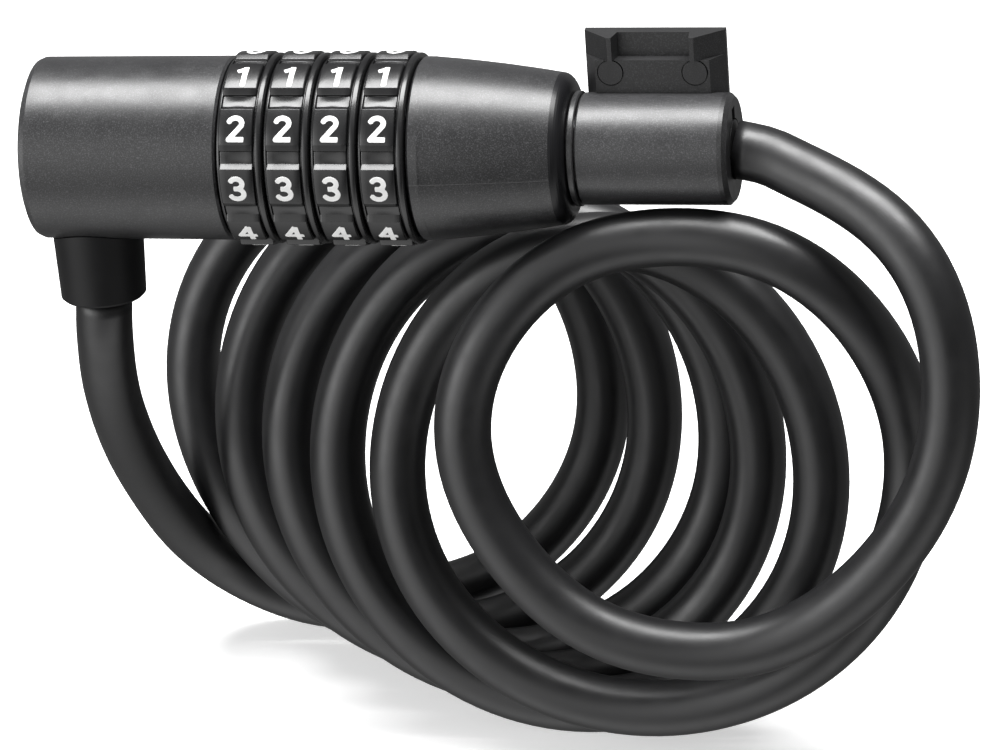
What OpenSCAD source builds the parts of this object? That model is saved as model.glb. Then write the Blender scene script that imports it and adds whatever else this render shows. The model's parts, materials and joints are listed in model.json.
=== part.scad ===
// Coiled cable lock with four number dials, a pull-out plug and a swivelling carrier.
// Millimetres. X runs along the lock's axis towards the plug's cable end, Z is up.
// The origin is on the top edge of the carrier's rail, straight above the middle of its sleeve.

/* [Cable] */
// Outside diameter of the cable
cable_d = 10.4; // [8:0.1:10.6]
// Depth taken up by one turn of the coil
turn_pitch = 11; // [11:0.5:13]
// Radius of a turn, to the middle of the cable
turn_r = 45; // [40:1:45]

/* [Head] */
// Outside diameter of the rear cover
cover_d = 33.2; // [32:0.1:33.4]
// Length of the rear cover without its dome
cover_len = 37; // [34:0.2:40]
// Height of the dome on the rear cover's closed end
dome_h = 2.5; // [1:0.25:3]
// Wall thickness of the covers
wall = 2; // [1.6:0.1:2.2]
// Length of the tapered nose
nose_len = 25.3; // [24:0.1:26]
// Diameter of the nose at its small end
nose_end_d = 27.3; // [26.5:0.1:28]
// Length of the ring that closes the nose
ring_len = 2.4; // [2.2:0.1:3]
// Distance from the head's axis down to the foot of the cable boss
boss_drop = 28.4; // [26:0.2:32]

/* [Dials] */
// Outside diameter over the number pads
dial_d = 34.9; // [34:0.1:36]
// Room that one dial takes along the axis
dial_pitch = 8.6; // [8.4:0.1:9]
// Play between neighbouring dials
dial_gap = 0.2; // [0.1:0.05:0.3]
// Radius of the scallops between the pads
scallop_r = 3.1; // [2.6:0.1:3.4]

/* [Plug] */
// Diameter of the locking bolt
bolt_d = 8.5; // [7.5:0.1:8.5]
// Thickness of a bolt tooth along the axis
tooth_t = 1.6; // [1:0.1:1.8]
// Length of the plug's visible collar
collar_len = 1.5; // [1.3:0.1:2.5]

/* [Carrier] */
// Diameter of the carrier sleeve
sleeve_d = 20; // [20:0.5:22]
// Length of the carrier sleeve with its end cap
sleeve_len = 27.2; // [26:0.2:30]
// Length of the rail
rail_len = 25.4; // [24:0.2:26]
// Height of the rail above the sleeve
rail_h = 10.5; // [9:0.5:12]
// Thickness of the rail from front to back
rail_t = 6.5; // [5:0.5:7]

/* [Hidden] */
$fn = 96;
eps = 0.01;

// Heights
axis_z = -(sleeve_d / 2 + rail_h);
floor_drop = 118;
floor_z = axis_z - floor_drop;

// Places along the axis, from the plug's cable end to the closed end
sleeve_x0 = -sleeve_len / 2;
sleeve_x1 = sleeve_len / 2;
collar_x0 = sleeve_x0 - collar_len;
ring_x0 = collar_x0 - ring_len;
nose_x0 = ring_x0 - nose_len;
dials_x0 = nose_x0 - 4 * dial_pitch;
cover_x0 = dials_x0 - cover_len;
boss_x = cover_x0 + 9.2;

// Radii of what runs on the axis, from the middle out
run_clear = 0.05;
bolt_r = bolt_d / 2;
tube_in_r = bolt_r + run_clear;
tube_out_r = 6.5;
wheel_bore_r = tube_out_r + run_clear;
tooth_top_r = 8.2;
tooth_w = 2.8;
key_r = tooth_top_r + 0.3;
key_w = tooth_w + 0.4;
wheel_r = 11;
cover_in_r = cover_d / 2 - wall;

// Dial profile: distances from the dial's left face
margin_w = 0.6;
pad_end = 6.95;
rim_start = 7.2;
recess_depth = 0.95;
digits = 10;
digit_angle = 360 / digits;
first_digit_angle = 30;

// Code wheel: the tooth rests in a round recess beside the slotted web
web_w = 5.6;
tooth_x = 6.9;

// Cable: turns of the coil, and how far each turn lies to the left of the one before
coil_turns = 5;
turn_shift = -13;
first_turn_x = -10.5;
first_turn_y = 2;
coil_out_r = turn_r + cable_d / 2 - 0.5;
coil_in_r = turn_r - cable_d / 2 - 2;

// Route of the cable from the plug, round the front turn, to the coil.
// Heights are measured from the head's axis.
plug_route = [
    [sleeve_x1, 0, 0], [17.5, 0, -0.7], [22, -0.7, -2.2], [28.5, -3, -4.8], [35, -6, -7.3],
    [41, -9, -10.4], [46, -12, -15], [50, -14, -22], [52, -15, -30.5], [52.5, -16, -39],
    [51.5, -17, -48], [48.5, -17, -58], [43.5, -18, -66], [36.5, -18, -75], [27.5, -18, -82],
    [18.5, -18, -87], [8.5, -18, -89], [-1.5, -18, -88], [-11.5, -18, -86],
    [-20.5, -17, -80], [-27.5, -17, -72], [-32.5, -16, -64], [-35.5, -16, -54],
    [-35.5, -15, -45], [-32.7, -14, -35.3], [-28, -11, -28], [-21.5, -9, -22],
    [-14.7, -7, -17.5], [-5.8, -6, -15.6], [5.4, -6, -14.8], [15.7, -6, -15.8],
    [24, -6, -19.7], [31.3, -4, -26.3], [37.5, -2, -36], [41, 1, -47], [41.5, 3, -60],
    [38, 2, -78], [28, 1, -94], [18, 1, -102]
];
// Route of the cable from the boss back to the last turn, which lies on the ground
boss_route = [
    [boss_x, 0, -boss_drop], [-105.9, 1.2, -35], [-107.2, 4.8, -42.8], [-108.6, 12.2, -53.5],
    [-109.6, 22.2, -65.5], [-109.7, 32.5, -76.7], [-107.9, 42.5, -88.7],
    [-104.4, 50.3, -98.6], [-98, 55.6, -106.2], [-89.3, 57.3, -110.4], [-79.5, 57, -112.6]
];

// Helpers ---------------------------------------------------------------

// Turns a half outline of [radius, x] points about the head's axis
module turned(points, angle = 360) {
    translate([0, 0, axis_z])
        rotate([0, 90, 0])
            rotate_extrude(angle = angle)
                polygon(points);
}

// A ring or disc on the head's axis, from x0 to x1
module ring(x0, x1, r_out, r_in = 0) {
    turned([[r_in, x0], [r_out, x0], [r_out, x1], [r_in, x1]]);
}

// A straight rod on the head's axis, for cutting bores
module axis_rod(x0, x1, r) {
    translate([x0, 0, axis_z])
        rotate([0, 90, 0])
            cylinder(r = r, h = x1 - x0);
}

// Upright rod at x, between two heights measured from the axis
module upright_rod(x, z0, z1, r) {
    translate([x, 0, axis_z + z0])
        cylinder(r = r, h = z1 - z0);
}

// Rod from front to back at x and height z above the axis
module cross_rod(x, z, r, y0, y1) {
    translate([x, y0, axis_z + z])
        rotate([-90, 0, 0])
            cylinder(r = r, h = y1 - y0);
}

// The keyway that the bolt's teeth travel along, open at the top of a bore
module keyway(x0, x1) {
    translate([x0, -key_w / 2, axis_z])
        cube([x1 - x0, key_w, key_r]);
}

// Points [radius, x] on a flat arc from one point to another that stands proud by h
function bulge(a, b, h, n) = [
    for (i = [0:n])
        let (s = i / n, lift = 4 * h * s * (1 - s))
        [a[0] + (b[0] - a[0]) * s + lift, a[1] + (b[1] - a[1]) * s]
];

// Points [radius, x] of the domed end, from its middle to its edge
function dome(r, x, h, n) = [
    for (i = [0:n])
        let (s = i / n)
        [r * s, x - h * (1 - s * s)]
];

// Fixed parts of the head -----------------------------------------------

end_wall = 1.4;

module rear_cover() {
    r = cover_d / 2;
    draft = 0.15;
    edge = 1.4;
    inner_x = cover_x0 + end_wall;
    color([0.06, 0.06, 0.065])
        difference() {
            turned(concat(
                dome(r - draft - edge, cover_x0, dome_h, 8),
                [[r - draft - edge * 0.3, cover_x0 + edge * 0.3],
                 [r - draft, cover_x0 + edge],
                 [r, dials_x0 - dial_gap - 0.4],
                 [r - 0.4, dials_x0 - dial_gap],
                 [cover_in_r, dials_x0 - dial_gap],
                 [cover_in_r, inner_x],
                 [0, inner_x]]
            ));
            upright_rod(boss_x, -cover_d / 2 - 1, 0, boss_neck_r);
        }
}

boss_foot_r = 7.8;
boss_top_r = 8.4;
boss_neck_r = 7;
boss_neck_top = 12.5;
cable_clear = 0.05;

module cable_boss() {
    r = cable_d / 2 + cable_clear;
    chamfer = 0.5;
    seat = sqrt(cover_d * cover_d / 4 - boss_top_r * boss_top_r) - 1.6;
    neck_foot = cover_d / 2 + 0.2;
    color([0.07, 0.07, 0.075])
        difference() {
            translate([boss_x, 0, axis_z])
                rotate_extrude()
                    polygon([
                        [r, -boss_drop], [boss_foot_r - chamfer, -boss_drop],
                        [boss_foot_r, -boss_drop + chamfer], [boss_top_r, -seat],
                        [boss_neck_r, -seat], [boss_neck_r, -boss_neck_top],
                        [r, -boss_neck_top]
                    ]);
            axis_rod(cover_x0 - cover_len, dials_x0, cover_d / 2 + eps);
        }
    color([0.07, 0.07, 0.075])
        translate([boss_x, 0, axis_z])
            rotate_extrude()
                polygon([
                    [r, -neck_foot], [boss_neck_r, -neck_foot],
                    [boss_neck_r, -boss_neck_top], [r, -boss_neck_top]
                ]);
}

// The ferrule crimped on the cable's fixed end, and the pin that holds it in the cover
ferrule_r = 6.3;
ferrule_top = 6;
rope_top = 2;
cross_pin_z = 4;
cross_pin_r = 1.5;
cross_pin_half = 13;

module fixed_ferrule() {
    color([0.6, 0.6, 0.62])
        difference() {
            upright_rod(boss_x, 0.1 - boss_neck_top, ferrule_top, ferrule_r);
            upright_rod(boss_x, -boss_neck_top, rope_top, cable_d / 2);
            cross_rod(boss_x, cross_pin_z, cross_pin_r, -cross_pin_half, cross_pin_half);
        }
}

module ferrule_pin() {
    color([0.7, 0.7, 0.72])
        cross_rod(boss_x, cross_pin_z, cross_pin_r, -cross_pin_half, cross_pin_half);
}

module fixed_rope_end() {
    color([0.05, 0.05, 0.05])
        upright_rod(boss_x, -boss_drop, rope_top, cable_d / 2);
}

block_x0 = -95;
tube_x0 = -91;
tube_x1 = ring_x0 + ring_len - 0.8;

module end_block() {
    color([0.62, 0.62, 0.64])
        difference() {
            axis_rod(block_x0, dials_x0 - 1.2, cover_in_r - 0.1);
            axis_rod(tube_x0, dials_x0, tube_out_r);
        }
}

clip_x = ring_x0 - 0.2;
clip_t = 0.8;
clip_groove_r = 6;
tube_flat = 5.9;

module core_tube() {
    slot_end = dials_x0 - 0.6;
    color([0.72, 0.72, 0.74])
        difference() {
            axis_rod(tube_x0, tube_x1, tube_out_r);
            axis_rod(tube_x0 + 2, tube_x1 + 1, tube_in_r);
            keyway(slot_end, tube_x1 + 1);
            ring(clip_x, clip_x + clip_t, tube_out_r + 1, clip_groove_r);
            translate([dials_x0, -2.2, axis_z - 10])
                cube([4 * dial_pitch, 4.4, 10 - tube_flat]);
        }
}

module thrust_washer() {
    color([0.75, 0.7, 0.5])
        ring(dials_x0 - 1.1, dials_x0 - 0.3, cover_in_r - 0.2, wheel_bore_r);
}

module wave_spring() {
    color([0.7, 0.7, 0.7])
        difference() {
            ring(nose_x0 + 0.1, nose_x0 + 0.5, wheel_r - 0.5, key_r);
            axis_rod(nose_x0, nose_x0 + 1, key_r - eps);
        }
}

// The gap of the ring stands over the keyway, so that the teeth can pass
module retaining_ring() {
    gap = 70;
    color([0.35, 0.35, 0.37])
        translate([clip_x, 0, axis_z])
            rotate([0, 90, 0])
                rotate([0, 0, 180 + gap / 2])
                    rotate_extrude(angle = 360 - gap)
                        translate([clip_groove_r, 0])
                            square([2.2, clip_t]);
}

// Leaf in the flat under the core tube, with a ridge under each wheel
module index_spring() {
    leaf_t = 0.3;
    ridge_r = 0.5;
    color([0.7, 0.7, 0.72]) {
        translate([dials_x0 + 0.4, -2, axis_z - tube_flat - leaf_t])
            cube([4 * dial_pitch - 0.8, 4, leaf_t]);
        for (i = [0:3])
            translate([dials_x0 + i * dial_pitch + 1, 0, axis_z - tube_flat - leaf_t + 0.2])
                rotate([0, 90, 0])
                    intersection() {
                        cylinder(r = ridge_r, h = 3.6);
                        translate([leaf_t / 2, -ridge_r, 0])
                            cube([ridge_r, 2 * ridge_r, 3.6]);
                    }
    }
}

nose_start_r = 16.45;

module nose_cover() {
    end_r = nose_end_d / 2;
    inner_x = nose_x0 + dial_gap;
    color([0.06, 0.06, 0.065])
        turned(concat(
            [[nose_start_r - 0.4, inner_x], [nose_start_r, inner_x + 0.4],
             [nose_start_r, nose_x0 + 2.2]],
            bulge([nose_start_r - 0.05, nose_x0 + 2.6], [end_r, ring_x0 - eps], 0.25, 8),
            [[end_r - wall, ring_x0 - eps], [nose_start_r - wall - 0.6, inner_x + 3],
             [nose_start_r - wall, inner_x]]
        ));
}

module nose_core() {
    color([0.62, 0.62, 0.64])
        difference() {
            turned([
                [0, nose_x0 + 0.6], [nose_start_r - wall - 1, nose_x0 + 0.6],
                [nose_start_r - wall - 1, nose_x0 + 3],
                [nose_end_d / 2 - wall - 0.1, ring_x0 - 0.2], [0, ring_x0 - 0.2]
            ]);
            axis_rod(nose_x0, ring_x0, tube_out_r);
            keyway(nose_x0, ring_x0);
        }
}

module nose_ring() {
    r = nose_end_d / 2;
    drop = 3.2;
    steps = 9;
    len = ring_len - 0.1;
    color([0.04, 0.04, 0.042])
        turned(concat(
            [[key_r + 0.3, ring_x0]],
            [for (i = [0:steps])
                let (a = i * 90 / steps)
                [r - drop * (1 - cos(a)), ring_x0 + len * sin(a)]],
            [[key_r + 0.3, ring_x0 + len]]
        ));
}

// Dials -------------------------------------------------------------------

function dial_x(i) = dials_x0 + (i - 1) * dial_pitch;

// Turns its children about the head's axis by an angle from the front, rising upwards
module at_angle(a) {
    translate([0, 0, axis_z])
        rotate([-a, 0, 0])
            children();
}

module number_dial(i) {
    x = dial_x(i);
    pad_r = dial_d / 2;
    side_gap = dial_gap / 2;
    scallop_depth_r = pad_r - recess_depth + scallop_r;
    color([0.03, 0.03, 0.03])
        difference() {
            turned([
                [wheel_r, x + side_gap], [pad_r - 1.2, x + side_gap],
                [pad_r - 1, x + side_gap + 0.2], [pad_r - 1, x + margin_w],
                [pad_r - 0.15, x + margin_w], [pad_r, x + margin_w + 0.2],
                [pad_r, x + pad_end - 0.2], [pad_r - 0.2, x + pad_end],
                [pad_r - 0.8, x + pad_end], [pad_r - 0.8, x + rim_start],
                [pad_r - 0.35, x + rim_start + 0.15],
                [pad_r - 0.35, x + dial_pitch - side_gap - 0.4],
                [pad_r - 0.8, x + dial_pitch - side_gap],
                [wheel_r, x + dial_pitch - side_gap]
            ]);
            for (k = [0:digits - 1])
                at_angle(first_digit_angle + (k + 0.5) * digit_angle)
                    translate([x + margin_w + 0.1, -scallop_depth_r, 0])
                        rotate([0, 90, 0])
                            cylinder(r = scallop_r, h = pad_end - margin_w - 0.1, $fn = 32);
        }
}

module code_wheel(i) {
    x = dial_x(i);
    side_gap = dial_gap / 2;
    color([0.8, 0.68, 0.35])
        difference() {
            axis_rod(x + side_gap, x + dial_pitch - side_gap, wheel_r);
            axis_rod(x, x + dial_pitch, wheel_bore_r);
            axis_rod(x + web_w, x + dial_pitch, key_r);
            keyway(x, x + dial_pitch);
            for (k = [0:digits - 1])
                at_angle(-90 + k * digit_angle)
                    translate([x, -wheel_bore_r, 0])
                        rotate([0, 90, 0])
                            cylinder(r = 0.6, h = web_w + 1, $fn = 24);
        }
}

// Plug --------------------------------------------------------------------

bolt_tip_x = dial_x(1) + tooth_x - tooth_t / 2 - 3;
pin_x = -9;
pin_r = 1.2;

module locking_bolt() {
    tip = 1.5;
    color([0.78, 0.78, 0.8])
        difference() {
            union() {
                turned([
                    [0, bolt_tip_x], [bolt_r - tip, bolt_tip_x], [bolt_r, bolt_tip_x + tip],
                    [bolt_r, -6], [0, -6]
                ]);
                for (i = [1:4])
                    translate([dial_x(i) + tooth_x - tooth_t / 2, -tooth_w / 2, axis_z])
                        cube([tooth_t, tooth_w, tooth_top_r]);
            }
            cross_rod(pin_x, 0, pin_r, -10, 10);
        }
}

module plug_collar() {
    color([0.06, 0.06, 0.065])
        turned([
            [bolt_r, collar_x0], [sleeve_d / 2, collar_x0],
            [sleeve_d / 2 + 0.3, collar_x0 + 0.3], [sleeve_d / 2 + 0.3, sleeve_x0 - 0.4],
            [sleeve_d / 2 + 0.1, sleeve_x0 - 0.2], [bolt_r, sleeve_x0 - 0.2]
        ]);
}

plug_core_r = 8;
cap_t = 1.6;

module plug_ferrule() {
    color([0.6, 0.6, 0.62])
        difference() {
            axis_rod(sleeve_x0 - 0.2, sleeve_x1 - cap_t - 0.1, plug_core_r);
            axis_rod(sleeve_x0 - 1, -6, bolt_r);
            axis_rod(-4, sleeve_x1, cable_d / 2);
            cross_rod(pin_x, 0, pin_r, -10, 10);
        }
}

module plug_pin() {
    half = 7.8;
    color([0.7, 0.7, 0.72])
        cross_rod(pin_x, 0, pin_r, -half, half);
}

module plug_rope_end() {
    color([0.05, 0.05, 0.05])
        axis_rod(-4, sleeve_x1, cable_d / 2);
}

// Carrier -------------------------------------------------------------------

module carrier_sleeve() {
    r = sleeve_d / 2;
    color([0.1, 0.1, 0.105])
        turned([
            [plug_core_r + run_clear, sleeve_x0], [r - 0.3, sleeve_x0], [r, sleeve_x0 + 0.3],
            [r, sleeve_x1 - cap_t], [plug_core_r + run_clear, sleeve_x1 - cap_t]
        ]);
}

module sleeve_end_cap() {
    r = sleeve_d / 2;
    notch_w = 2.6;
    notch_h = 2.2;
    hole_r = cable_d / 2 + 0.25;
    color([0.09, 0.09, 0.095])
        difference() {
            turned([
                [0, sleeve_x1 - cap_t], [r, sleeve_x1 - cap_t], [r, sleeve_x1 - 0.8],
                [r - 0.8, sleeve_x1], [0, sleeve_x1]
            ]);
            axis_rod(sleeve_x1 - cap_t - 1, sleeve_x1 + 1, hole_r);
            translate([sleeve_x1 - cap_t - 1, -notch_w / 2, axis_z])
                cube([cap_t + 2, notch_w, hole_r + notch_h]);
        }
}

// Outline of the rail seen from above: two angled wings either side of a recessed panel
rail_mid = -0.7;
rail_half = rail_len / 2;
panel_half = 6.5;
panel_wall = 0.5;
panel_depth = 3.6;
wing_flat = 7.8;
wing_back = 5.2;
ledge_h = 6.1;
rivet_x = 7.6;
rivet_z = 13.8;
rivet_r = 2.2;
rivet_margin = 0.5;
block_flat = rivet_x + rivet_r + rivet_margin;
groove_w = 0.2;
foot_back = 1;

module carrier_bracket() {
    upper = [
        [-rail_half, wing_back], [-wing_flat, 0], [-panel_half - panel_wall, 0],
        [-panel_half, panel_depth], [panel_half, panel_depth], [panel_half + panel_wall, 0],
        [wing_flat, 0], [rail_half, wing_back], [rail_half, rail_t], [-rail_half, rail_t]
    ];
    lower = [
        [-rail_half, wing_back], [-block_flat, foot_back], [block_flat, foot_back],
        [rail_half, wing_back], [rail_half, rail_t], [-rail_half, rail_t]
    ];
    foot = 4;
    color([0.08, 0.08, 0.085])
        difference() {
            union() {
                translate([rail_mid, 0, axis_z + sleeve_d / 2 + ledge_h - 1])
                    linear_extrude(height = rail_h - ledge_h + 1)
                        polygon(upper);
                translate([rail_mid, 0, axis_z + foot])
                    linear_extrude(height = sleeve_d / 2 - foot + ledge_h)
                        polygon(lower);
            }
            axis_rod(-rail_len, rail_len, sleeve_d / 2);
            for (s = [-1, 1]) {
                cross_rod(rail_mid + s * rivet_x, rivet_z, rivet_r, -1, rail_t + 1);
                cross_rod(rail_mid + s * rivet_x, rivet_z, rivet_r + groove_w, 0, foot_back + 0.5);
            }
        }
}

module bracket_rivets() {
    color([0.12, 0.12, 0.12])
        for (s = [-1, 1])
            cross_rod(rail_mid + s * rivet_x, rivet_z, rivet_r, foot_back - 0.15, rail_t);
}

// Cable ---------------------------------------------------------------------

tube_sides = 10;

function unit(v) = v / norm(v);

// Direction of a route at point i, from its neighbours
function heading(route, i) =
    unit(route[min(i + 1, len(route) - 1)] - route[max(i - 1, 0)]);

// Ring of points round a route's point, square to its direction. The first ring is square to
// the way that the tube leaves, so that it meets its neighbour flat
function tube_ring(route, i, leaves) =
    let (
        d = i == 0 ? leaves : heading(route, i),
        side = unit(cross(d, [0, 1, 0.01])),
        top = cross(side, d)
    )
    [for (k = [0:tube_sides - 1])
        route[i] + (side * cos(k * 360 / tube_sides) + top * sin(k * 360 / tube_sides))
            * cable_d / 2];

module cable_tube(route, leaves) {
    n = len(route);
    m = tube_sides;
    points = [for (i = [0:n - 1]) each tube_ring(route, i, leaves)];
    sides = [
        for (i = [0:n - 2], k = [0:m - 1])
            let (a = i * m + k, b = i * m + (k + 1) % m)
            each [[a, b, b + m], [a, b + m, a + m]]
    ];
    first_cap = [for (k = [m - 1:-1:0]) k];
    last_cap = [for (k = [0:m - 1]) (n - 1) * m + k];
    color([0.04, 0.04, 0.042])
        translate([0, 0, axis_z])
            polyhedron(points = points, faces = concat(sides, [first_cap, last_cap]));
}

module cable_lead_plug() {
    cable_tube(plug_route, [1, 0, 0]);
}

module cable_lead_fixed() {
    cable_tube(boss_route, [0, 0, -1]);
}

// A flat-sided, round-ended bar from the first turn's middle to the last one's
module coil_core(r, depth) {
    length = -turn_shift * (coil_turns - 1);
    for (x = [0, length])
        translate([x, 0, 0])
            cylinder(r = r, h = depth);
    translate([0, -r, 0])
        cube([length, 2 * r, depth]);
}

// Outer shape of the coil, whose turns step back and to the left: it holds them all, and
// stands on its flat underside
module cable_coil() {
    depth = coil_turns * turn_pitch;
    last_turn_x = first_turn_x + (coil_turns - 1) * turn_shift;
    color([0.05, 0.05, 0.052])
        translate([last_turn_x, first_turn_y + depth, floor_z + coil_out_r])
            rotate([90, 0, 0])
                difference() {
                    coil_core(coil_out_r, depth);
                    translate([0, 0, -1])
                        coil_core(coil_in_r, depth + 2);
                }
}

// What is drawn ---------------------------------------------------------------

rear_cover();
cable_boss();
fixed_ferrule();
ferrule_pin();
fixed_rope_end();
end_block();
core_tube();
thrust_washer();
wave_spring();
retaining_ring();
index_spring();
nose_cover();
nose_core();
nose_ring();
number_dial(1);  // number_dial_1
number_dial(2);  // number_dial_2
number_dial(3);  // number_dial_3
number_dial(4);  // number_dial_4
code_wheel(1);  // code_wheel_1
code_wheel(2);  // code_wheel_2
code_wheel(3);  // code_wheel_3
code_wheel(4);  // code_wheel_4
locking_bolt();
plug_collar();
plug_ferrule();
plug_pin();
plug_rope_end();
carrier_sleeve();
sleeve_end_cap();
carrier_bracket();
bracket_rivets();
cable_lead_plug();
cable_coil();
cable_lead_fixed();
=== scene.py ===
import bmesh
import bpy
import json
import math
from mathutils import Matrix, Vector


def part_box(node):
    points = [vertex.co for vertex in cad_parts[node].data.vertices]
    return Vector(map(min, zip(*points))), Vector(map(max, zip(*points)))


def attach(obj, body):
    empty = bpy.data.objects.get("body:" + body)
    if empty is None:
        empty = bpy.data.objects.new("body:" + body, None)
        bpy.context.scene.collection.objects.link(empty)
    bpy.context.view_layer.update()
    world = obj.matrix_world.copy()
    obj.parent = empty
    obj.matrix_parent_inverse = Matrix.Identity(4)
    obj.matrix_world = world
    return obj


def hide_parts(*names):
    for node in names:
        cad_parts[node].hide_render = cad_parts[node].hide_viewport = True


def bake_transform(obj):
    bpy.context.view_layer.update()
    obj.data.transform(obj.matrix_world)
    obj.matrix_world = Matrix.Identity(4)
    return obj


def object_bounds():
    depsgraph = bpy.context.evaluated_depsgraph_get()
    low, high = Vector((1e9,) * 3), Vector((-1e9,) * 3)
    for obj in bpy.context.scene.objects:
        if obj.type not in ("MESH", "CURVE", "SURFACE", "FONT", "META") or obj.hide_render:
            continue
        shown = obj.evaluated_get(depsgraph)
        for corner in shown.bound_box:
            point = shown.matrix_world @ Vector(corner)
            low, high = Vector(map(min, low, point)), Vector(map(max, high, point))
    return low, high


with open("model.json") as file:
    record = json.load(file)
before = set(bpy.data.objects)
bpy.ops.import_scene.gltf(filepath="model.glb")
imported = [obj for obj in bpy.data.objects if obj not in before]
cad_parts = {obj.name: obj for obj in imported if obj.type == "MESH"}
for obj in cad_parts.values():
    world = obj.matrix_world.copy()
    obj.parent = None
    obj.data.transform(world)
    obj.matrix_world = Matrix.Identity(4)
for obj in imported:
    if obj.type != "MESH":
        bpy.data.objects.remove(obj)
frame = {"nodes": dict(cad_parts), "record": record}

CAD_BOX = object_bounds()
nodes = frame["nodes"]
sleeve_lo, sleeve_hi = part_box("carrier_sleeve")
AXIS_Z = (sleeve_lo[2] + sleeve_hi[2]) / 2
FLOOR_Z = CAD_BOX[0][2]
CABLE_D = 0.0104
PITCH = 0.011
TURN_R = 0.045
LEAN_RIGHT = 0.02
LEAN_BACK = 0.1


# Camera ------------------------------------------------------------------------------

CAMERA_AZIMUTH, CAMERA_HEIGHT, CAMERA_ROLL = 11.5, 18.0, -3.4
CAMERA_TARGET = (-0.0004, 0, AXIS_Z - 0.0001)
CAMERA_DISTANCE = 1.0657
AIM_LEFT, AIM_DOWN = 0.0280, 0.0401
LENS, SENSOR = 216, 36


def camera():
    """A long lens from a little to the right and above. The target, on the head's axis, isn't in
    the middle of the picture, so the lens aims to the left of it and below."""
    az, el = math.radians(CAMERA_AZIMUTH), math.radians(CAMERA_HEIGHT)
    roll = math.radians(CAMERA_ROLL)
    back = Vector((math.sin(az) * math.cos(el), -math.cos(az) * math.cos(el), math.sin(el)))
    right0 = Vector((math.cos(az), math.sin(az), 0))
    up0 = Vector((-math.sin(az) * math.sin(el), math.cos(az) * math.sin(el), math.cos(el)))
    right = right0 * math.cos(roll) + up0 * math.sin(roll)
    up = up0 * math.cos(roll) - right0 * math.sin(roll)
    target = Vector(CAMERA_TARGET)
    place = target + back * CAMERA_DISTANCE
    look = target - right * AIM_LEFT - up * AIM_DOWN
    z = (place - look).normalized()
    x = (right - z * right.dot(z)).normalized()
    y = z.cross(x)
    cam = bpy.data.objects.new("camera", bpy.data.cameras.new("camera"))
    cam.data.lens = LENS
    cam.data.sensor_width = SENSOR
    cam.data.clip_start = 0.05
    cam.data.clip_end = 20
    cam.matrix_world = Matrix((
        (x[0], y[0], z[0], place[0]),
        (x[1], y[1], z[1], place[1]),
        (x[2], y[2], z[2], place[2]),
        (0, 0, 0, 1),
    ))
    bpy.context.collection.objects.link(cam)
    bpy.context.scene.camera = cam


camera()


# Cable: the route, in metres, with heights from the head's axis -------------------------

PLUG_ROUTE = [
    (0.0136, 0, 0), (0.0175, 0, -0.0007), (0.022, -0.0007, -0.0022),
    (0.0285, -0.003, -0.0048), (0.035, -0.006, -0.0073), (0.041, -0.009, -0.0104),
    (0.046, -0.012, -0.015), (0.050, -0.014, -0.022), (0.052, -0.015, -0.0305),
    (0.0525, -0.016, -0.039), (0.0515, -0.017, -0.048), (0.0485, -0.017, -0.058),
    (0.0435, -0.018, -0.066), (0.0365, -0.018, -0.075), (0.0275, -0.018, -0.082),
    (0.0185, -0.018, -0.087), (0.0085, -0.018, -0.089), (-0.0015, -0.018, -0.088),
    (-0.0115, -0.018, -0.086), (-0.0205, -0.017, -0.080), (-0.0275, -0.017, -0.072),
    (-0.0325, -0.016, -0.064), (-0.0355, -0.016, -0.054), (-0.0355, -0.015, -0.045),
    (-0.0327, -0.014, -0.0353), (-0.028, -0.011, -0.028), (-0.0215, -0.009, -0.022),
    (-0.0147, -0.007, -0.0175), (-0.0058, -0.006, -0.0156), (0.0054, -0.006, -0.0148),
    (0.0157, -0.006, -0.0158), (0.024, -0.006, -0.0197), (0.0313, -0.004, -0.0263),
    (0.0375, -0.002, -0.036), (0.041, 0.001, -0.047),
]
BOSS_ROUTE = [
    (-0.105, 0, -0.0284), (-0.1059, 0.0012, -0.035), (-0.1072, 0.0048, -0.0428),
    (-0.1086, 0.0122, -0.0535), (-0.1096, 0.0222, -0.0655), (-0.1097, 0.0325, -0.0767),
    (-0.1079, 0.0425, -0.0887), (-0.1044, 0.0503, -0.0986), (-0.0980, 0.0556, -0.1062),
    (-0.0893, 0.0573, -0.1104), (-0.0795, 0.0570, -0.1126),
]
# Right and left ends of each half turn of the coil
STATIONS = [0.042, -0.0545, 0.0235, -0.0685, 0.010, -0.0805, 0.002, -0.0925,
            -0.0135, -0.1065, -0.0255, -0.1325]
HALF_TURN_STEPS = 12
# Where the end to the boss comes past, the last full turn is tucked in, counted in half turns
TUCK_AT, TUCK_HALF = 8.82, 0.42
TUCK_RIGHT, TUCK_UP = 0.0030, 0.0020
COIL_STEPS = 10 * HALF_TURN_STEPS + 4
# The coil starts this much off the floor, and is down on it after LIFT_TURNS turns
FIRST_LIFT, LIFT_TURNS = 0.008, 0.9
FIRST_QUARTER = 0.25
ROUGH_STEP, ROUTE_STEP = 0.006, 0.0025
SMOOTH_PASSES = 14
SMOOTH_IN, SMOOTH_OUT = 0.5, -0.52
SPLINE_STEPS = 12
CABLE_SIDES = 24


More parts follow.
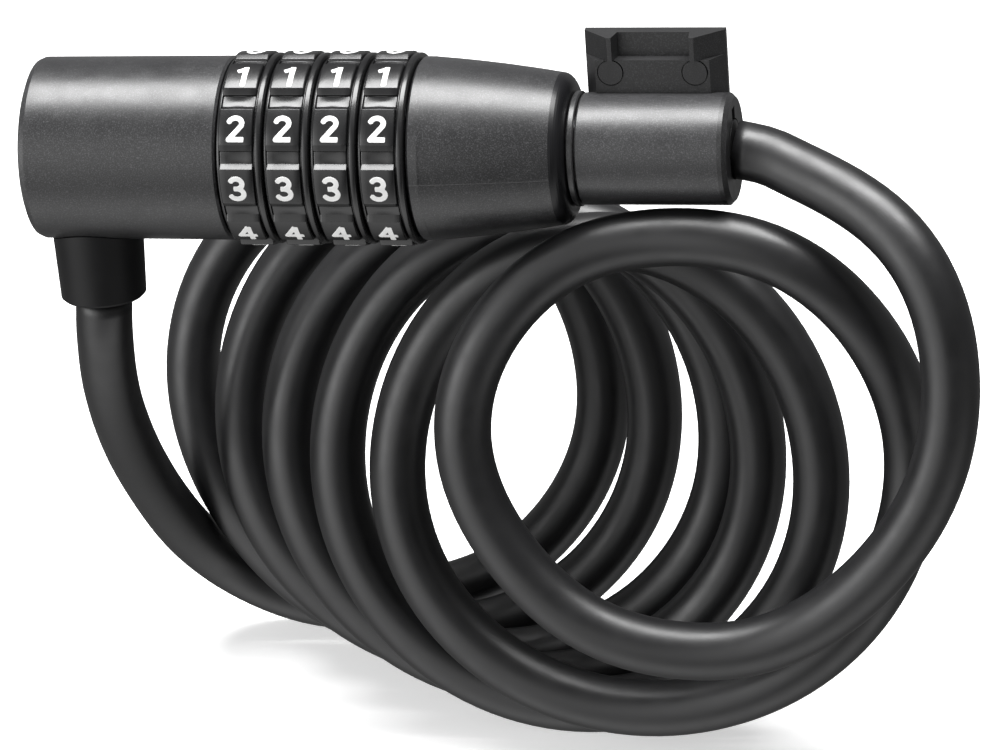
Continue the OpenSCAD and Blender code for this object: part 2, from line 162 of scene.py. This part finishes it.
def coil_point(step):
    """A point of the standing turns. They step back and to the left, and lean back a little."""
    i, s = divmod(step, HALF_TURN_STEPS)
    s /= HALF_TURN_STEPS
    a, b = STATIONS[i], STATIONS[i + 1]
    th = math.pi * (s + (i % 2))
    turns = (i + s) / 2
    x = (a + b) / 2 + abs(a - b) / 2 * math.cos(th)
    floor_z = FLOOR_Z - AXIS_Z
    z = floor_z + CABLE_D / 2 + TURN_R * (1 - math.sin(th))
    z += FIRST_LIFT * max(0, 1 - turns / LIFT_TURNS) ** 2
    y = PITCH * (turns - FIRST_QUARTER) + LEAN_BACK * (z - floor_z)
    x += LEAN_RIGHT * (z - floor_z - TURN_R)
    off = (i + s - TUCK_AT) / TUCK_HALF
    if abs(off) < 1:
        tuck = math.cos(off * math.pi / 2) ** 2
        x += TUCK_RIGHT * tuck
        z += TUCK_UP * tuck
    return (x, y, z)


def cable_route():
    coil = [coil_point(i) for i in range(COIL_STEPS + 1)]
    pts = PLUG_ROUTE + coil + list(reversed(BOSS_ROUTE))
    return [Vector((p[0], p[1], p[2] + AXIS_Z)) for p in pts]


def smooth_route(points, passes):
    """Evens out the route without shrinking it or moving the directions in which it leaves."""
    pts = [p.copy() for p in points]
    for k in range(2 * passes):
        share = SMOOTH_IN if k % 2 == 0 else SMOOTH_OUT
        new = [p.copy() for p in pts]
        for i in range(2, len(pts) - 2):
            new[i] = pts[i] + ((pts[i - 1] + pts[i + 1]) / 2 - pts[i]) * share
        pts = new
    return pts


def catmull(points, step):
    """The same route as points a fixed step apart along one smooth line."""
    ext = [points[0] * 2 - points[1]] + points + [points[-1] * 2 - points[-2]]
    dense = []
    for i in range(1, len(ext) - 2):
        p0, p1, p2, p3 = ext[i - 1], ext[i], ext[i + 1], ext[i + 2]
        for k in range(SPLINE_STEPS):
            u = k / SPLINE_STEPS
            square = (2 * p0 - 5 * p1 + 4 * p2 - p3) * u * u
            cube = (3 * p1 - p0 - 3 * p2 + p3) * u ** 3
            dense.append(0.5 * ((2 * p1) + (p2 - p0) * u + square + cube))
    dense.append(ext[-2].copy())
    run = [0.0]
    for a, b in zip(dense, dense[1:]):
        run.append(run[-1] + (b - a).length)
    n = round(run[-1] / step)
    out, j = [], 0
    for k in range(n + 1):
        want = run[-1] * k / n
        while j < len(run) - 2 and run[j + 1] < want:
            j += 1
        f = (want - run[j]) / max(run[j + 1] - run[j], 1e-9)
        out.append(dense[j].lerp(dense[j + 1], min(f, 1.0)))
    return out


def new_object(name, bm):
    me = bpy.data.meshes.new(name)
    bm.to_mesh(me)
    bm.free()
    ob = bpy.data.objects.new(name, me)
    bpy.context.collection.objects.link(ob)
    return ob


def tube_mesh(name, route, radius, sides):
    """A closed tube along a route, with its section carried along without twisting."""
    bm = bmesh.new()
    n = len(route)
    uv = bm.loops.layers.uv.new("along")
    d = (route[1] - route[0]).normalized()
    side = d.cross(Vector((0, 1, 0))).normalized()
    rings, dist, total = [], [], 0.0
    for i, p in enumerate(route):
        a, b = route[max(i - 1, 0)], route[min(i + 1, n - 1)]
        d = (b - a).normalized()
        side = (side - d * side.dot(d)).normalized()
        top = d.cross(side)
        if i:
            total += (p - route[i - 1]).length
        dist.append(total)
        turn = 2 * math.pi / sides
        ring = []
        for k in range(sides):
            out = side * math.cos(turn * k) + top * math.sin(turn * k)
            ring.append(bm.verts.new(p + out * radius))
        rings.append(ring)
    for i in range(n - 1):
        for k in range(sides):
            m = (k + 1) % sides
            f = bm.faces.new((rings[i][k], rings[i][m], rings[i + 1][m], rings[i + 1][k]))
            f.smooth = True
            for loop, (u, v) in zip(f.loops, ((k, i), (k + 1, i), (k + 1, i + 1), (k, i + 1))):
                loop[uv].uv = (u / sides, dist[v])
    bm.faces.new(list(reversed(rings[0])))
    bm.faces.new(rings[-1])
    bmesh.ops.recalc_face_normals(bm, faces=bm.faces)
    return new_object(name, bm)


ROUTE = catmull(smooth_route(catmull(cable_route(), ROUGH_STEP), SMOOTH_PASSES), ROUTE_STEP)
cable = tube_mesh("cable", ROUTE, CABLE_D / 2, CABLE_SIDES)
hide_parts("cable_lead_plug", "cable_coil", "cable_lead_fixed")
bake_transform(cable)


# Materials -------------------------------------------------------------------------------

def material(name):
    m = bpy.data.materials.new(name)
    m.use_nodes = True
    nt = m.node_tree
    nt.nodes.clear()
    out = nt.nodes.new("ShaderNodeOutputMaterial")
    bsdf = nt.nodes.new("ShaderNodeBsdfPrincipled")
    nt.links.new(bsdf.outputs[0], out.inputs[0])
    return m, nt, bsdf


def noise(nt, scale, detail=3.0, rough=0.55, vector=None, stretch=None):
    n = nt.nodes.new("ShaderNodeTexNoise")
    n.inputs["Scale"].default_value = scale
    n.inputs["Detail"].default_value = detail
    n.inputs["Roughness"].default_value = rough
    if vector is None:
        vector = nt.nodes.new("ShaderNodeTexCoord").outputs["Object"]
    if stretch is not None:
        mp = nt.nodes.new("ShaderNodeMapping")
        mp.inputs["Scale"].default_value = stretch
        nt.links.new(vector, mp.inputs["Vector"])
        vector = mp.outputs[0]
    nt.links.new(vector, n.inputs["Vector"])
    return n.outputs["Fac"]


def maths(nt, operation, value, other=None):
    """other is a number or the output of a node."""
    node = nt.nodes.new("ShaderNodeMath")
    node.operation = operation
    nt.links.new(value, node.inputs[0])
    if isinstance(other, (int, float)):
        node.inputs[1].default_value = other
    elif other is not None:
        nt.links.new(other, node.inputs[1])
    return node.outputs[0]


def spread(nt, value, lo, hi, to_lo, to_hi):
    r = nt.nodes.new("ShaderNodeMapRange")
    nt.links.new(value, r.inputs["Value"])
    for key, v in (("From Min", lo), ("From Max", hi), ("To Min", to_lo), ("To Max", to_hi)):
        r.inputs[key].default_value = v
    return r.outputs["Result"]


def ramp(nt, value, stops):
    r = nt.nodes.new("ShaderNodeValToRGB")
    els = r.color_ramp.elements
    while len(els) < len(stops):
        els.new(0.5)
    for e, (p, c) in zip(els, stops):
        e.position = p
        e.color = (*c, 1)
    nt.links.new(value, r.inputs["Fac"])
    return r.outputs["Color"]


def bump(nt, bsdf, heights):
    """Adds (height, strength, distance) bumps one on another."""
    last = None
    for h, strength, distance in heights:
        b = nt.nodes.new("ShaderNodeBump")
        b.inputs["Strength"].default_value = strength
        b.inputs["Distance"].default_value = distance
        nt.links.new(h, b.inputs["Height"])
        if last is not None:
            nt.links.new(last, b.inputs["Normal"])
        last = b.outputs[0]
    nt.links.new(last, bsdf.inputs["Normal"])


# How many lumps of each kind of noise there are to a metre, roughly
CLOUD_SCALE, SPECK_SCALE, SHEEN_SCALE = 60, 4600, 220
SPECK = (0.22, 0.22, 0.23, 1)
PARTING_HALF, PARTING_DEPTH = 0.00012, 0.00005


def plastic(name, dark, light, rough, grain_scale, grain_depth, shine=0.5, flake=0.0,
            line_z=None):
    """Moulded plastic with a fine grain and a slightly cloudy sheen. flake adds pale specks,
    and line_z a parting line at that height."""
    m, nt, bsdf = material(name)
    cloud = noise(nt, CLOUD_SCALE, 2)
    grain = noise(nt, grain_scale, 2, 0.6)
    col = ramp(nt, cloud, [(0.3, dark), (0.7, light)])
    if flake:
        dust = spread(nt, noise(nt, SPECK_SCALE, 2, 0.7), 0.50, 0.78, 0.0, flake)
        mix = nt.nodes.new("ShaderNodeMixRGB")
        mix.inputs["Color2"].default_value = SPECK
        nt.links.new(dust, mix.inputs["Fac"])
        nt.links.new(col, mix.inputs["Color1"])
        col = mix.outputs[0]
    nt.links.new(col, bsdf.inputs["Base Color"])
    nt.links.new(spread(nt, noise(nt, SHEEN_SCALE, 3), 0.3, 0.7, rough - 0.04, rough + 0.05),
                 bsdf.inputs["Roughness"])
    bsdf.inputs["Specular IOR Level"].default_value = shine
    bumps = [(grain, 0.6, grain_depth)]
    if line_z is not None:
        xyz = nt.nodes.new("ShaderNodeSeparateXYZ")
        nt.links.new(nt.nodes.new("ShaderNodeTexCoord").outputs["Object"], xyz.inputs[0])
        away = maths(nt, "ABSOLUTE", maths(nt, "SUBTRACT", xyz.outputs["Z"], line_z))
        line = spread(nt, away, 0.0, PARTING_HALF, 0.0, 1.0)
        bumps.append((line, 0.6, PARTING_DEPTH))
    bump(nt, bsdf, bumps)
    return m


def metal(name, colour, rough, stretch=(1, 1, 1)):
    m, nt, bsdf = material(name)
    bsdf.inputs["Metallic"].default_value = 1
    lines = noise(nt, 1500, 2, 0.6, stretch=stretch)
    dark = tuple(c * 0.85 for c in colour)
    nt.links.new(ramp(nt, noise(nt, 90, 3), [(0.3, dark), (0.7, colour)]),
                 bsdf.inputs["Base Color"])
    nt.links.new(spread(nt, lines, 0.3, 0.7, rough - 0.06, rough + 0.08),
                 bsdf.inputs["Roughness"])
    bump(nt, bsdf, [(lines, 0.3, 0.00003)])
    return m


MAT = {
    "cover": plastic("cover_black", (0.012, 0.012, 0.0127), (0.018, 0.018, 0.0188), 0.33, 3800,
                     0.000012, 0.6, 0.35),
    "nose": plastic("nose_black", (0.012, 0.012, 0.0127), (0.018, 0.018, 0.0188), 0.33, 3800,
                    0.000012, 0.6, 0.35, AXIS_Z - 0.0016),
    "boss": plastic("boss_black", (0.007, 0.007, 0.0075), (0.011, 0.011, 0.0115), 0.42, 2600,
                    0.000012, 0.22),
    "dial": plastic("dial_black", (0.006, 0.006, 0.0065), (0.010, 0.010, 0.0105), 0.25, 1200,
                    0.000008, 0.6),
    "ring": plastic("ring_black", (0.006, 0.006, 0.007), (0.010, 0.010, 0.011), 0.30, 2200,
                    0.00001, 0.3),
    "carrier": plastic("carrier_grey", (0.018, 0.018, 0.019), (0.026, 0.026, 0.027), 0.36, 3800,
                       0.000014, 0.6, 0.4),
    "bracket": plastic("bracket_black", (0.010, 0.010, 0.0105), (0.016, 0.016, 0.0165), 0.36, 3400,
                       0.000014, 0.5, 0.2),
    "cable": plastic("cable_black", (0.006, 0.006, 0.0066), (0.010, 0.010, 0.0108), 0.40, 1600,
                     0.000012, 0.65),
    "cast": metal("cast_grey", (0.50, 0.50, 0.52), 0.42),
    "steel": metal("steel_bright", (0.62, 0.62, 0.64), 0.28, (1, 0.1, 1)),
    "brass": metal("brass_turned", (0.72, 0.52, 0.22), 0.30, (1, 0.1, 1)),
}
NODE_MAT = {
    "cable_boss": "boss", "nose_cover": "nose", "carrier_bracket": "bracket",
    "bracket_rivets": "bracket", "sleeve_end_cap": "bracket",
}
SLOT_MAT = {
    "cover_plastic": "cover", "dial_plastic": "dial", "ring_metal": "ring",
    "carrier_plastic": "carrier", "cable_skin": "cable", "cast_metal": "cast",
    "steel": "steel", "brass": "brass",
}


def assign(ob, mat):
    ob.data.materials.clear()
    ob.data.materials.append(mat)


for part in frame["record"]["subparts"]:
    name = part["node"]
    assign(nodes[name], MAT[NODE_MAT.get(name, SLOT_MAT[part["material_slot"]])])
assign(cable, MAT["cable"])


# Dials and their numbers --------------------------------------------------------------------

DIAL_R = 0.01745
DIGITS = 10
FIRST_ANGLE = 101.3
RECESS_DEPTH = 0.95
CHAMFER_DEPTH = 0.55
RECESS_FLOOR_R = 16.2
# Half of the gap between two dials
FACE_GAP = 0.1
# The floor of a hollow is dished about the middle of the pads' width
DISH_DEPTH, DISH_MIDDLE, DISH_HALF = 0.22, 3.82, 2.9
SHARP_EDGE = math.radians(50)
# Edges of a hollow, in mm round from its middle: its pad above ends in a chamfer and a short
# wall, and the pad below starts with a slope
CHAMFER_TOP, WALL_TOP, WALL_FOOT, SLOPE_TOP, SLOPE_FOOT = 2.6, 1.5, 1.35, -0.9, -1.85


def recess(mm, x):
    """Depth in mm of the hollow between two pads."""
    if mm >= CHAMFER_TOP or mm <= SLOPE_FOOT:
        return 0.0
    if mm > WALL_TOP:
        return CHAMFER_DEPTH * (CHAMFER_TOP - mm) / (CHAMFER_TOP - WALL_TOP)
    if mm > WALL_FOOT:
        down = (WALL_TOP - mm) / (WALL_TOP - WALL_FOOT)
        return CHAMFER_DEPTH + (RECESS_DEPTH - CHAMFER_DEPTH) * down
    if mm < SLOPE_TOP:
        return RECESS_DEPTH * (mm - SLOPE_FOOT) / (SLOPE_TOP - SLOPE_FOOT)
    mid = (mm - (WALL_FOOT + SLOPE_TOP) / 2) / ((WALL_FOOT - SLOPE_TOP) / 2)
    dish = DISH_DEPTH * max(0.0, 1 - ((x - DISH_MIDDLE) / DISH_HALF) ** 2)
    return RECESS_DEPTH + dish * (1 - mid ** 2)


def dial_mesh(index):
    """One dial in place of its CAD node. It returns where the dial's left face is."""
    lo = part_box(f"number_dial_{index}")[0]
    x0 = lo[0] * 1000 - FACE_GAP
    # x from the dial's left face, radius, and whether the hollows cut this line
    line = [
        (0.10, 11.0, 0), (0.10, 16.05, 0), (0.16, 16.28, 0), (0.28, 16.40, 0), (0.64, 16.42, 0),
        (0.68, 16.60, 0), (0.70, 17.10, 1), (0.76, 17.28, 1), (0.88, 17.40, 1), (1.04, 17.45, 1),
        (2.00, 17.45, 1), (2.95, 17.45, 1), (3.82, 17.45, 1), (4.70, 17.45, 1), (5.65, 17.45, 1),
        (6.61, 17.45, 1), (6.77, 17.40, 1), (6.89, 17.28, 1), (6.95, 17.10, 1), (6.97, 16.60, 0),
        (7.01, 16.45, 0), (7.19, 16.45, 0), (7.23, 16.62, 0), (7.27, 16.95, 0), (7.37, 17.10, 0),
        (7.52, 17.15, 0), (8.08, 17.15, 0), (8.26, 17.08, 0), (8.38, 16.92, 0), (8.46, 16.60, 0),
        (8.50, 16.20, 0), (8.50, 11.0, 0),
    ]
    # Lines of the mesh round the dial, in mm from the middle of a hollow
    up = [0.3, 0.7, 1.1, 1.28, 1.35, 1.42, 1.5, 1.57, 1.7, 2.1, 2.45, 2.55, 2.6, 2.68, 2.8,
          3.4, 4.1, 4.8]
    down = [0, 0.3, 0.6, 0.75, 0.85, 0.9, 0.97, 1.1, 1.4, 1.65, 1.78, 1.85, 1.90, 1.97, 2.15,
            2.6, 3.3, 4.1, 4.9]
    per = 2 * math.pi * DIAL_R * 1000 / DIGITS
    round_mm = [-v for v in reversed(down)] + up
    bm = bmesh.new()
    columns = []
    for k in range(DIGITS):
        for mm in round_mm:
            middle = math.radians(FIRST_ANGLE - 360 / DIGITS * (k + 0.5))
            a = middle + mm * (2 * math.pi / DIGITS) / per
            col = []
            for x, r, cut in line:
                d = recess(mm, x) if cut else 0.0
                rr = max(r - d, RECESS_FLOOR_R) if cut else r
                col.append(bm.verts.new(((x0 + x) / 1000, -rr / 1000 * math.cos(a),
                                         AXIS_Z + rr / 1000 * math.sin(a))))
            columns.append(col)
    columns.sort(key=lambda c: math.atan2(c[5].co[2] - AXIS_Z, -c[5].co[1]))
    n, m = len(columns), len(line)
    for i in range(n):
        for j in range(m):
            a, b = columns[i], columns[(i + 1) % n]
            f = bm.faces.new((a[j], a[(j + 1) % m], b[(j + 1) % m], b[j]))
            f.smooth = True
    bmesh.ops.recalc_face_normals(bm, faces=bm.faces)
    for e in bm.edges:
        if len(e.link_faces) == 2 and e.calc_face_angle(0) > SHARP_EDGE:
            e.smooth = False
    ob = new_object(f"dial_ring_{index}", bm)
    assign(ob, MAT["dial"])
    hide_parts(f"number_dial_{index}")
    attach(ob, f"dial_{index}")
    return x0 / 1000


def arc(cx, cy, rx, ry, a0, a1, n=14):
    return [(cx + rx * math.cos(math.radians(a0 + (a1 - a0) * i / n)),
             cy + ry * math.sin(math.radians(a0 + (a1 - a0) * i / n))) for i in range(n + 1)]


# Middle lines of the ten figures, in mm about their centres
FIGURES = {
    0: [arc(0, 0, 1.18, 1.95, 0, 360, 28)],
    1: [[(0.35, -2.5), (0.35, 2.4)], [(0.45, 1.95), (-1.05, 1.15)]],
    2: [arc(0, 0.95, 1.2, 1.0, 172, -38) + [(-1.15, -1.95), (1.6, -1.95)]],
    3: [arc(-0.05, 1.0, 1.1, 0.95, 160, -70), arc(-0.05, -0.95, 1.25, 1.0, 78, -165),
        [(-0.55, 0.05), (0.35, 0.05)]],
    4: [[(0.55, 2.1), (-1.35, -0.85), (1.7, -0.85)], [(0.6, 2.1), (0.6, -2.5)]],
    5: [[(1.4, 1.95), (-0.85, 1.95), (-1.05, 0.1)] + arc(0.0, -0.65, 1.22, 1.3, 140, -160)],
    6: [arc(0, -0.75, 1.2, 1.2, 0, 360, 24), arc(0.05, 0.0, 1.22, 1.95, 38, 190)],
    7: [[(-1.55, 1.95), (1.25, 1.95), (-0.4, -2.5)]],
    8: [arc(0, 1.03, 1.0, 0.92, 0, 360, 22), arc(0, -0.92, 1.22, 1.03, 0, 360, 24)],
    9: [arc(0, 0.75, 1.2, 1.2, 0, 360, 24), arc(-0.05, 0.0, 1.22, 1.95, 218, 370)],
}
STROKE = 0.47
FAR = 9.0
# Half of the width and of the height that a figure may take up, and its grid's cell
FIGURE_W, FIGURE_H, CELL = 2.3, 2.9, 0.14
FIGURE_X = 0.00385
FIGURE_PROUD, FIGURE_DEPTH = 0.00004, 0.00009


def stroke_distance(px, py, digit):
    """How far a point is from a figure's middle line, with square-cut ends."""
    best = FAR
    for line in FIGURES[digit]:
        closed = math.dist(line[0], line[-1]) < 1e-6
        for i in range(len(line) - 1):
            (ax, ay), (bx, by) = line[i], line[i + 1]
            dx, dy = bx - ax, by - ay
            size = math.hypot(dx, dy)
            t = ((px - ax) * dx + (py - ay) * dy) / size
            side = abs((px - ax) * dy - (py - ay) * dx) / size
            if t < 0:
                end = i == 0 and not closed
                d = max(side, STROKE - t) if end else math.hypot(px - ax, py - ay)
            elif t > size:
                end = i == len(line) - 2 and not closed
                d = max(side, STROKE + t - size) if end else math.hypot(px - bx, py - by)
            else:
                d = side
            best = min(best, d)
    return best - STROKE


def grid_point(i, j):
    return (-FIGURE_W + i * CELL, -FIGURE_H + j * CELL)


def figure_faces(digit):
    """Flat faces of a figure: the cells of a fine grid, cut along its outline."""
    nx, ny = round(2 * FIGURE_W / CELL), round(2 * FIGURE_H / CELL)
    f = [[stroke_distance(*grid_point(i, j), digit) for j in range(ny + 1)]
         for i in range(nx + 1)]
    faces = []
    for i in range(nx):
        for j in range(ny):
            ring = [(i, j), (i + 1, j), (i + 1, j + 1), (i, j + 1)]
            poly = []
            for k in range(4):
                (ai, aj), (bi, bj) = ring[k], ring[(k + 1) % 4]
                fa, fb = f[ai][aj], f[bi][bj]
                if fa <= 0:
                    poly.append(grid_point(ai, aj))
                if (fa <= 0) != (fb <= 0):
                    u = fa / (fa - fb)
                    poly.append(grid_point(ai + (bi - ai) * u, aj + (bj - aj) * u))
            if len(poly) >= 3:
                faces.append(poly)
    return faces


def paint():
    m, nt, bsdf = material("number_white")
    tones = [(0.3, (0.80, 0.80, 0.79)), (0.7, (0.90, 0.90, 0.89))]
    nt.links.new(ramp(nt, noise(nt, 900, 3), tones), bsdf.inputs["Base Color"])
    nt.links.new(spread(nt, noise(nt, 1500), 0.3, 0.7, 0.35, 0.55), bsdf.inputs["Roughness"])
    return m


def numbers(index, x0, faces, mat):
    """The ten figures of one dial, wrapped round it and a little proud of its pads."""
    bm = bmesh.new()
    top = DIAL_R + FIGURE_PROUD
    for digit in range(DIGITS):
        a0 = math.radians(FIRST_ANGLE - 360 / DIGITS * digit)
        for poly in faces[digit]:
            vs = []
            for u, v in poly:
                a = a0 + v / 1000 / DIAL_R
                vs.append(bm.verts.new((x0 + FIGURE_X + u / 1000, -top * math.cos(a),
                                        AXIS_Z + top * math.sin(a))))
            bm.faces.new(vs).smooth = True
    bmesh.ops.remove_doubles(bm, verts=bm.verts, dist=1e-6)
    rim = [e for e in bm.edges if e.is_boundary]
    down = bmesh.ops.extrude_edge_only(bm, edges=rim)
    for v in (g for g in down["geom"] if isinstance(g, bmesh.types.BMVert)):
        out = Vector((0, v.co[1], v.co[2] - AXIS_Z)).normalized()
        v.co -= out * FIGURE_DEPTH
    bmesh.ops.recalc_face_normals(bm, faces=bm.faces)
    ob = new_object(f"numbers_{index}", bm)
    assign(ob, mat)
    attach(ob, f"dial_{index}")


FACES = {d: figure_faces(d) for d in range(DIGITS)}
WHITE = paint()
for index in (1, 2, 3, 4):
    numbers(index, dial_mesh(index), FACES, WHITE)


# Floor and light ---------------------------------------------------------------------------

FLOOR_SIZE = 6
FLOOR_GLOW = 0.5


def floor():
    """A plain pale floor that isn't mirrored in the lock."""
    bm = bmesh.new()
    bmesh.ops.create_grid(bm, x_segments=2, y_segments=2, size=FLOOR_SIZE)
    ob = new_object("floor", bm)
    ob.location = (0, 0, FLOOR_Z)
    m, nt, bsdf = material("floor_white")
    nt.links.new(ramp(nt, noise(nt, 3), [(0.3, (0.86, 0.86, 0.86)), (0.7, (0.90, 0.90, 0.90))]),
                 bsdf.inputs["Base Color"])
    bsdf.inputs["Roughness"].default_value = 0.9
    bsdf.inputs["Specular IOR Level"].default_value = 0.1
    bsdf.inputs["Emission Color"].default_value = (1, 1, 1, 1)
    bsdf.inputs["Emission Strength"].default_value = FLOOR_GLOW
    ob.data.materials.append(m)
    ob.visible_diffuse = False
    ob.visible_glossy = False


def area(name, place, aim, width, length, power):
    data = bpy.data.lights.new(name, "AREA")
    data.shape = "RECTANGLE"
    data.size = width
    data.size_y = length
    data.energy = power
    ob = bpy.data.objects.new(name, data)
    ob.location = place
    ob.rotation_euler = (Vector(aim) - Vector(place)).to_track_quat("-Z", "Y").to_euler()
    bpy.context.collection.objects.link(ob)


floor()
MIDDLE = (-0.03, 0.02, AXIS_Z - 0.05)
area("overhead", (-0.03, 0.0, 0.72), MIDDLE, 1.0, 0.40, 19)
area("left", (-0.75, -0.62, 0.12), MIDDLE, 0.45, 0.6, 2.4)


# Studio light by height, in degrees up from the horizon in front, over the top to the back
SKY = [(-180, 0.20), (-110, 0.20), (-88, 0.7), (-66, 1.5), (-46, 1.0), (-28, 0.08), (-8, 0.10),
       (8, 0.24), (40, 0.24), (62, 0.5), (90, 0.5), (115, 0.25), (140, 0.12), (180, 0.25)]
# The same light at both sides, from SIDE_START of the way round to them
SIDE, SIDE_START = 0.22, 0.6
# A soft panel to the left in front. Its light fades between these cosines of the angle from it
PANEL_DIRECTION = (-0.62, -0.76, 0.0)
PANEL_LIGHT = 1.3
PANEL_EDGE, PANEL_CORE = 0.74, 0.92
LEFT_SHARE, RIGHT_SHARE = 1.1, 0.9


def studio():
    """Soft light from all round: darker low down in front and behind, weaker on the right."""
    world = bpy.data.worlds.new("studio")
    world.use_nodes = True
    nt = world.node_tree
    direction = nt.nodes.new("ShaderNodeTexCoord").outputs["Generated"]
    xyz = nt.nodes.new("ShaderNodeSeparateXYZ")
    nt.links.new(direction, xyz.inputs[0])
    front = maths(nt, "MULTIPLY", xyz.outputs["Y"], -1)
    height = maths(nt, "ARCTAN2", xyz.outputs["Z"], front)
    sky = ramp(nt, spread(nt, height, -math.pi, math.pi, 0, 1),
               [((deg + 180) / 360, (v, v, v)) for deg, v in SKY])
    mix = nt.nodes.new("ShaderNodeMixRGB")
    mix.inputs["Color2"].default_value = (SIDE, SIDE, SIDE, 1)
    aside = maths(nt, "ABSOLUTE", xyz.outputs["X"])
    nt.links.new(spread(nt, aside, SIDE_START, 1.0, 0, 1), mix.inputs["Fac"])
    nt.links.new(sky, mix.inputs["Color1"])
    toward = nt.nodes.new("ShaderNodeVectorMath")
    toward.operation = "DOT_PRODUCT"
    toward.inputs[1].default_value = Vector(PANEL_DIRECTION).normalized()
    nt.links.new(direction, toward.inputs[0])
    panel = spread(nt, toward.outputs["Value"], PANEL_EDGE, PANEL_CORE, 0, PANEL_LIGHT)
    add = nt.nodes.new("ShaderNodeMixRGB")
    add.blend_type = "ADD"
    add.inputs["Fac"].default_value = 1
    nt.links.new(mix.outputs[0], add.inputs["Color1"])
    nt.links.new(panel, add.inputs["Color2"])
    background = nt.nodes["Background"]
    nt.links.new(add.outputs[0], background.inputs[0])
    nt.links.new(spread(nt, xyz.outputs["X"], -1, 1, LEFT_SHARE, RIGHT_SHARE),
                 background.inputs[1])
    bpy.context.scene.world = world
    bpy.context.scene.view_settings.view_transform = "Standard"


studio()
